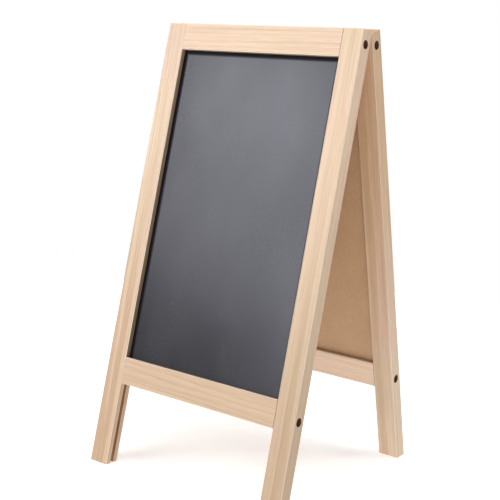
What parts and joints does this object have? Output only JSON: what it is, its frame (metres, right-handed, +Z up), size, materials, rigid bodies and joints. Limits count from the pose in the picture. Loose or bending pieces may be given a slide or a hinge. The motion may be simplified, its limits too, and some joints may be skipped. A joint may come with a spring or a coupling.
{
  "type": "sandwich board",
  "caption": "Folding tabletop sandwich board: two wooden frames with chalkboard panels, hinged at the top, standing open as an A.",
  "frame": {"origin": "on the floor, midway between the four feet", "axes": "+Z up, X across the board, -Y towards the front; the hinge axis runs along X"},
  "size_m": [0.2, 0.202, 0.3808],
  "materials": {
    "pine": "sanded bare pine, fine straight grain, unvarnished, arrises lightly eased",
    "chalkboard": "thin hardboard, satin black chalkboard paint on the outward face, bare brown fibre on the inward face",
    "screw_steel": "dull zinc and dark in the counterbore",
    "hinge_steel": "satin brassed steel"
  },
  "bodies": {
    "front_frame": {"front_left_stile": "pine", "front_right_stile": "pine", "front_top_rail": "pine", "front_bottom_rail": "pine", "front_panel": "chalkboard", "front_top_left_screw": "screw_steel", "front_bottom_left_screw": "screw_steel", "front_top_right_screw": "screw_steel", "front_bottom_right_screw": "screw_steel", "left_hinge_front_leaf": "hinge_steel", "left_hinge_front_inner_screw": "hinge_steel", "left_hinge_front_outer_screw": "hinge_steel", "right_hinge_front_leaf": "hinge_steel", "right_hinge_front_inner_screw": "hinge_steel", "right_hinge_front_outer_screw": "hinge_steel", "left_hinge_pin": "hinge_steel", "right_hinge_pin": "hinge_steel"},
    "rear_frame": {"rear_left_stile": "pine", "rear_right_stile": "pine", "rear_top_rail": "pine", "rear_bottom_rail": "pine", "rear_panel": "chalkboard", "rear_top_left_screw": "screw_steel", "rear_bottom_left_screw": "screw_steel", "rear_top_right_screw": "screw_steel", "rear_bottom_right_screw": "screw_steel", "left_hinge_rear_leaf": "hinge_steel", "left_hinge_rear_inner_screw": "hinge_steel", "left_hinge_rear_outer_screw": "hinge_steel", "right_hinge_rear_leaf": "hinge_steel", "right_hinge_rear_inner_screw": "hinge_steel", "right_hinge_rear_outer_screw": "hinge_steel"}
  },
  "joints": [
    {"name": "fold_hinge", "type": "hinge", "parent": "front_frame", "child": "rear_frame", "pos_m": [0, 0, 0.36996], "axis": [1, 0, 0], "range_deg": [-26.2, 0]}
  ]
}
